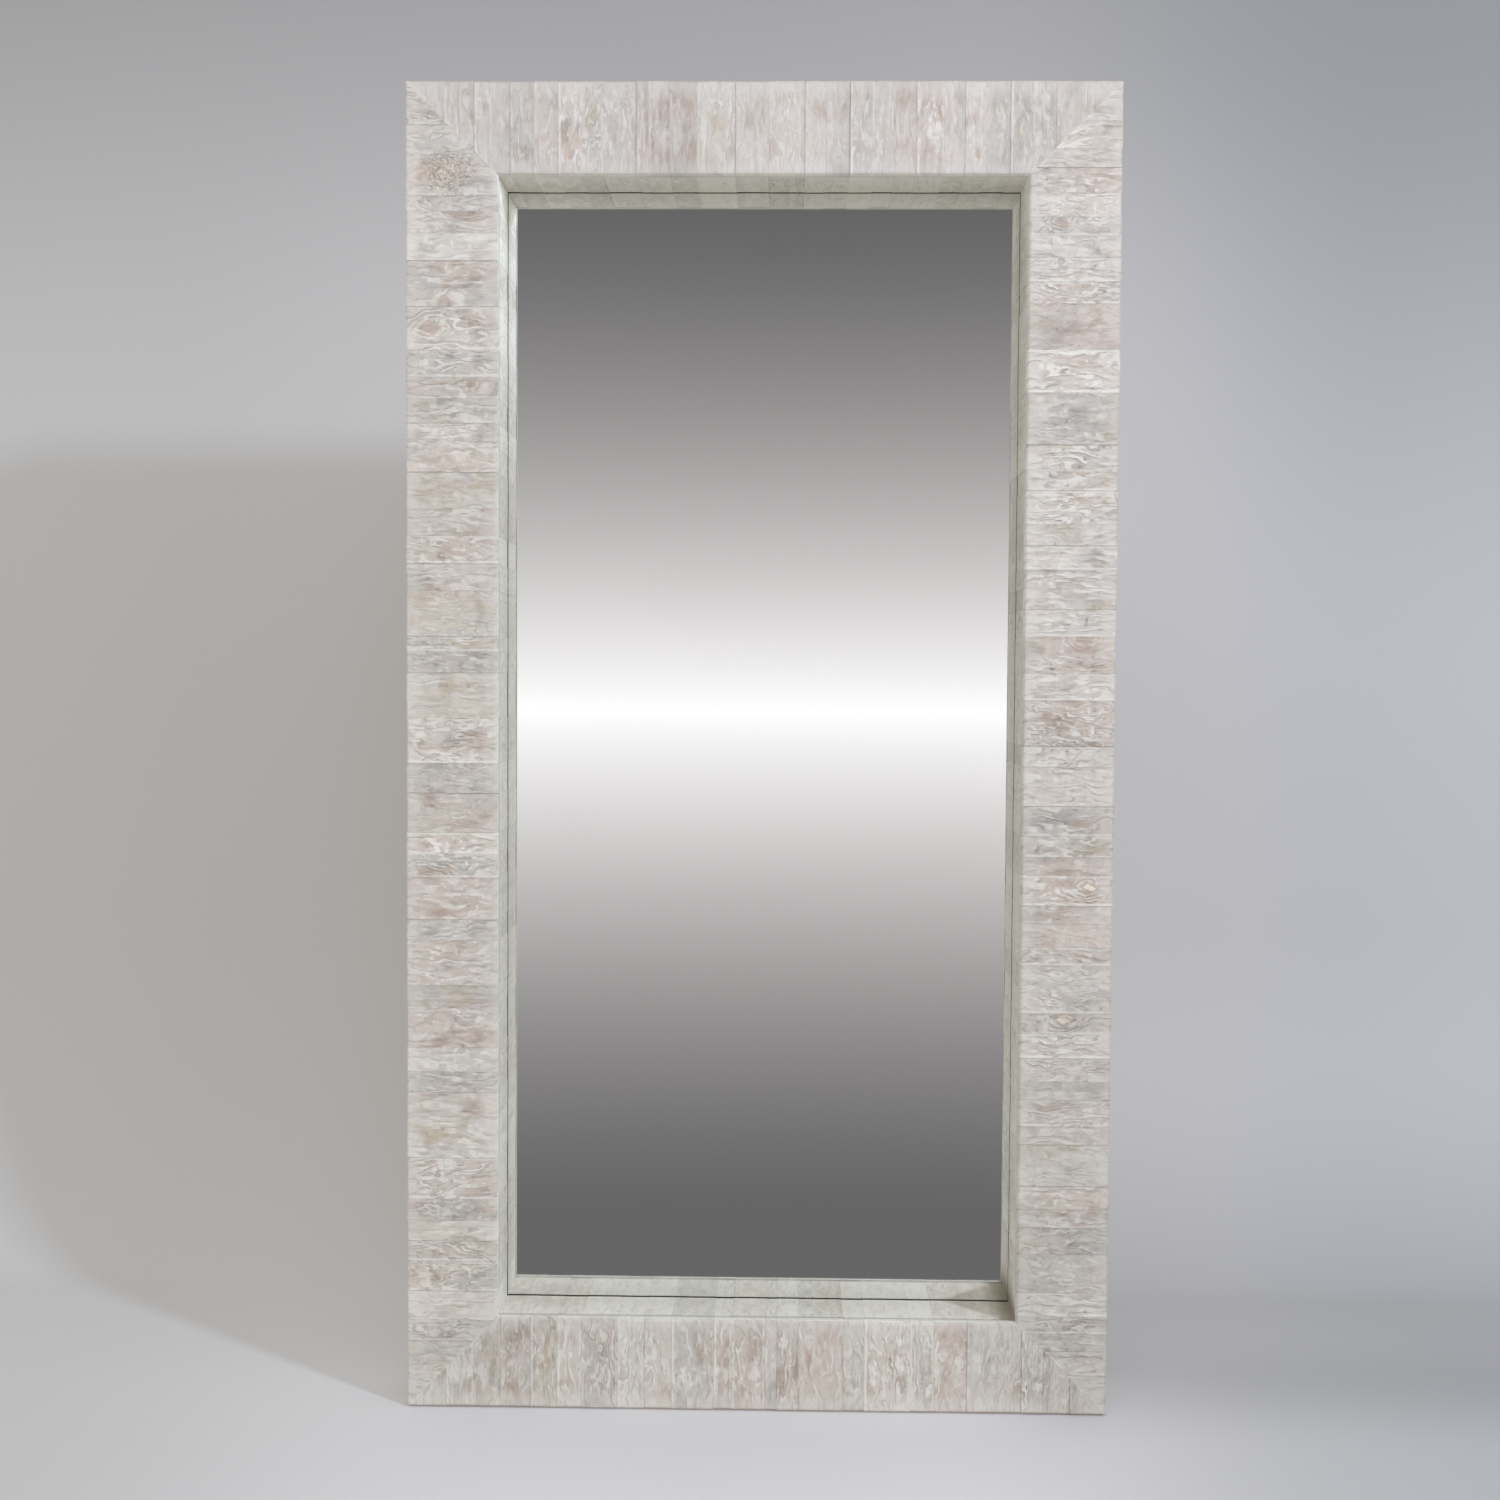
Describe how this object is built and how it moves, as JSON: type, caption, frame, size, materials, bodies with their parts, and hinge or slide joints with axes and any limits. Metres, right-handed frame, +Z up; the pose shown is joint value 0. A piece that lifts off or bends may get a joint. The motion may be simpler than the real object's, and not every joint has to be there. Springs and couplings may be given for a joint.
{
  "type": "rectangular mirror",
  "caption": "Tall rectangular mirror in a deep mitred box frame faced with whitewashed reclaimed wood staves, with hanging rings on the back.",
  "frame": {"origin": "on the floor under the middle of the whole piece, at the underside of the glides", "axes": "+Z up, the mirror faces -Y, +X to the viewer's right as the viewer faces the mirror"},
  "size_m": [1.015, 0.114, 1.908],
  "materials": {
    "whitewashed_face_staves": "wire-brushed, white wash in the grain",
    "whitewashed_reveal_staves": "white wash, smoother",
    "whitewashed_edge_staves": "wire-brushed, white wash in the grain",
    "plywood": "sanded, unpainted",
    "pine": "planed, unpainted",
    "hardboard": "smooth hardboard",
    "silvered_glass": "polished, silvered on the back",
    "zinc_steel": "zinc plated",
    "screw_steel": "yellow zinc plated",
    "black_rubber": "matt",
    "felt": "dense felt"
  },
  "bodies": {
    "frame": {"backing_panel": "hardboard", "backing_panel_screws": "screw_steel", "bottom_edge_staves": "whitewashed_edge_staves", "bottom_face_board": "plywood", "bottom_face_staves_left": "whitewashed_face_staves", "bottom_face_staves_right": "whitewashed_face_staves", "bottom_inner_batten": "pine", "bottom_outer_batten": "pine", "bottom_rear_board": "plywood", "bottom_reveal_staves": "whitewashed_reveal_staves", "corner_blocks": "pine", "corner_plate_screws": "screw_steel", "corner_plates": "zinc_steel", "floor_glides": "felt", "hanger_screws": "screw_steel", "left_edge_staves": "whitewashed_edge_staves", "left_face_board": "plywood", "left_face_staves_bottom": "whitewashed_face_staves", "left_face_staves_lower": "whitewashed_face_staves", "left_face_staves_top": "whitewashed_face_staves", "left_face_staves_upper": "whitewashed_face_staves", "left_hanger_strap": "zinc_steel", "left_inner_batten": "pine", "left_outer_batten": "pine", "left_rear_board": "plywood", "left_reveal_staves": "whitewashed_reveal_staves", "mirror_glass": "silvered_glass", "right_edge_staves": "whitewashed_edge_staves", "right_face_board": "plywood", "right_face_staves_bottom": "whitewashed_face_staves", "right_face_staves_lower": "whitewashed_face_staves", "right_face_staves_top": "whitewashed_face_staves", "right_face_staves_upper": "whitewashed_face_staves", "right_hanger_strap": "zinc_steel", "right_inner_batten": "pine", "right_outer_batten": "pine", "right_rear_board": "plywood", "right_reveal_staves": "whitewashed_reveal_staves", "setting_blocks": "black_rubber", "spacer_blocks": "pine", "top_edge_staves": "whitewashed_edge_staves", "top_face_board": "plywood", "top_face_staves_left": "whitewashed_face_staves", "top_face_staves_right": "whitewashed_face_staves", "top_inner_batten": "pine", "top_outer_batten": "pine", "top_rear_board": "plywood", "top_reveal_staves": "whitewashed_reveal_staves", "wall_bumpers": "black_rubber"},
    "left_ring": {"left_hanger_ring": "zinc_steel"},
    "right_ring": {"right_hanger_ring": "zinc_steel"}
  },
  "joints": [
    {"name": "left_ring_swing", "type": "hinge", "parent": "frame", "child": "left_ring", "pos_m": [-0.453, 0.052, 1.528], "axis": [1, 0, 0], "range_deg": [0, 180]},
    {"name": "right_ring_swing", "type": "hinge", "parent": "frame", "child": "right_ring", "pos_m": [0.453, 0.052, 1.528], "axis": [1, 0, 0], "range_deg": [0, 180]}
  ]
}
